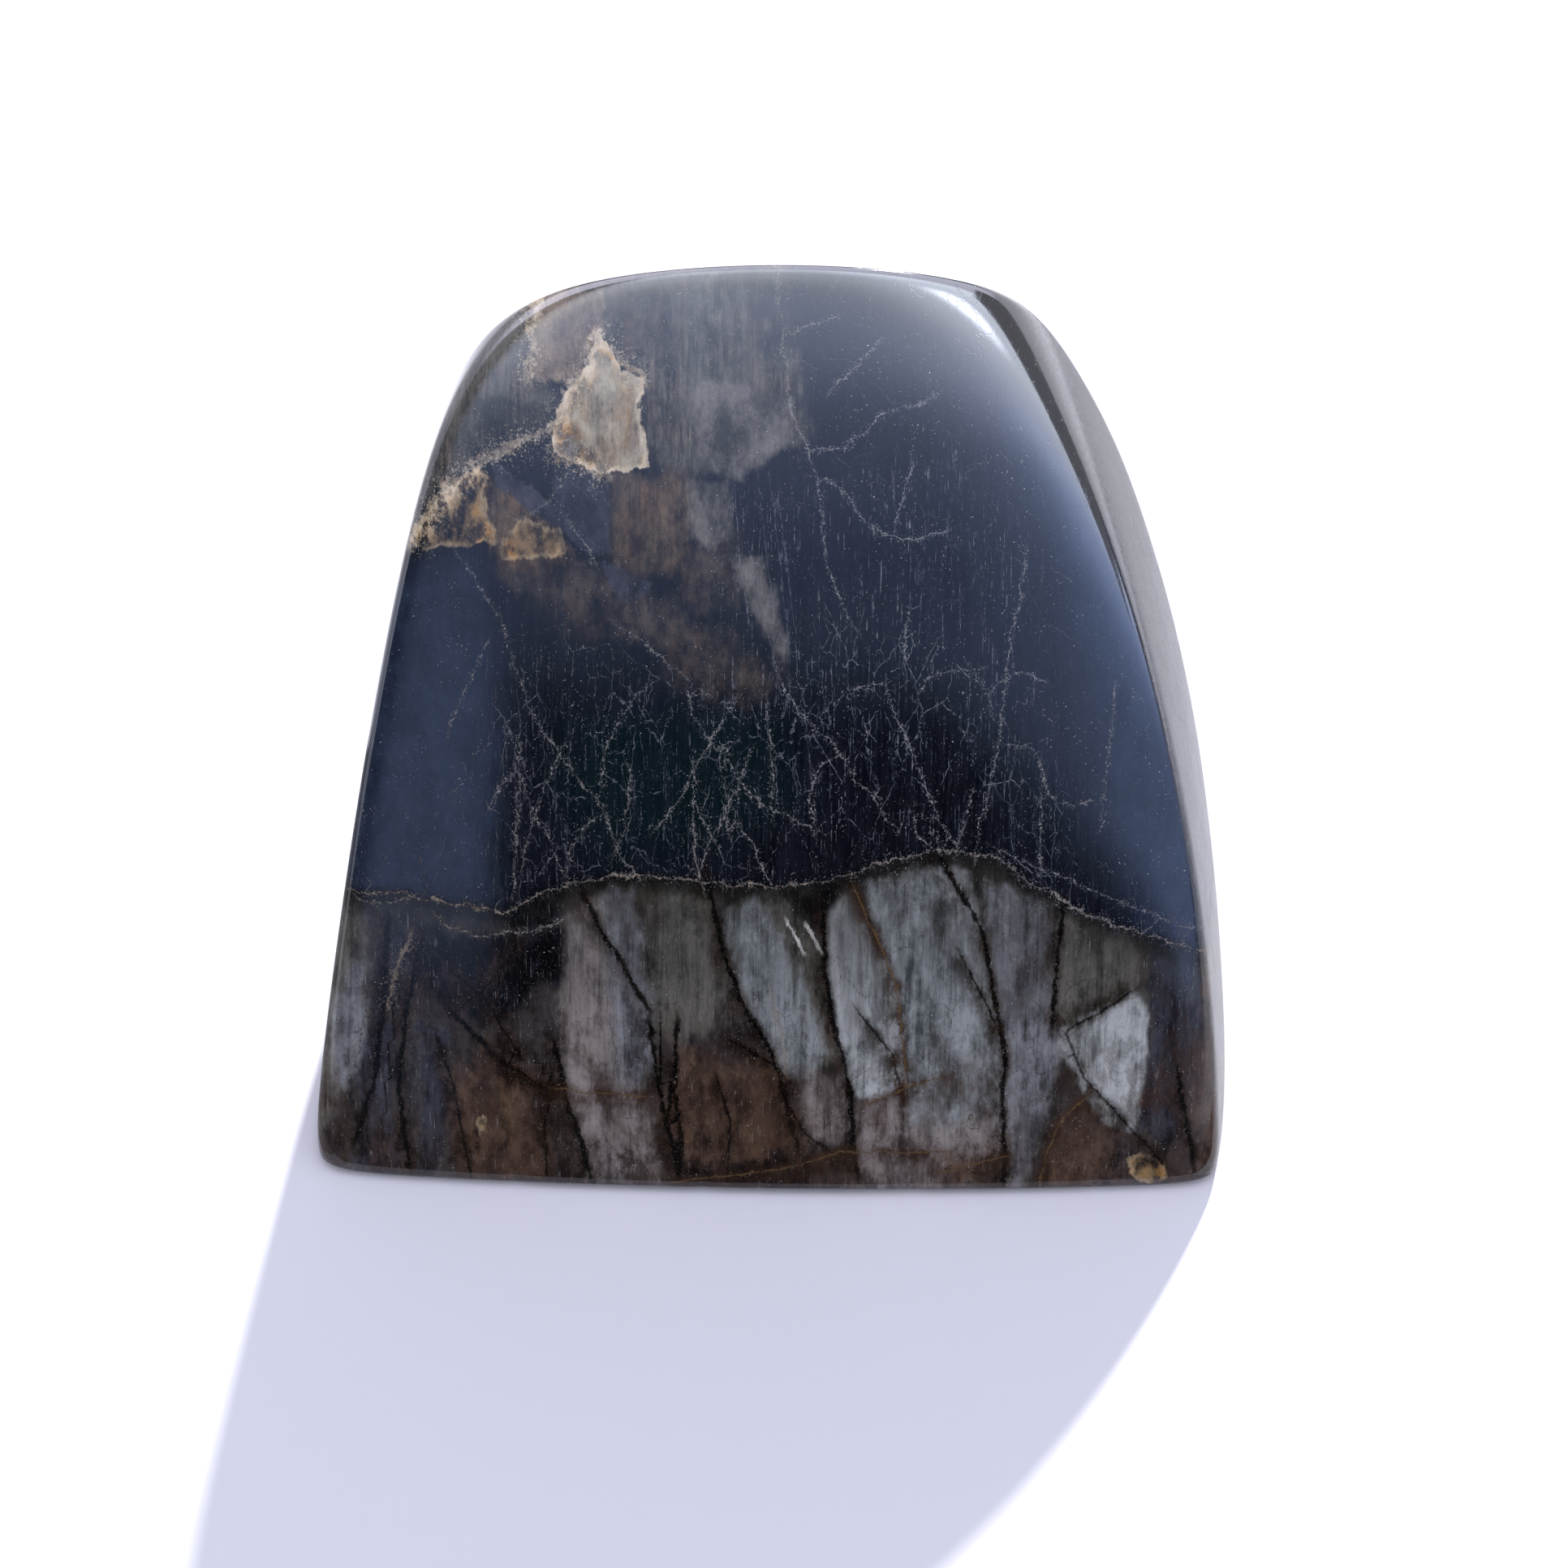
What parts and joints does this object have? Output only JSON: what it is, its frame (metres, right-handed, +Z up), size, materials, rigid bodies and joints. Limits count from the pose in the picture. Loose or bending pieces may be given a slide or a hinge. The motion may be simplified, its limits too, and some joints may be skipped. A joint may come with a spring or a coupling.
{
  "type": "labradorite freeform",
  "caption": "Polished dark feldspar freeform that stands upright on a sawn flat base, with a leaning front face, two flanks, a back and a thin crest.",
  "frame": {"origin": "centre of the stone's outline, on the plane of its sawn base", "axes": "+Z up, +X to the viewer's right when the leaning front face is looked at, +Y towards the back"},
  "size_m": [0.0896, 0.0618, 0.0802],
  "materials": {
    "labradorite": "polished"
  },
  "bodies": {
    "root": {"stone": "labradorite"}
  },
  "joints": []
}
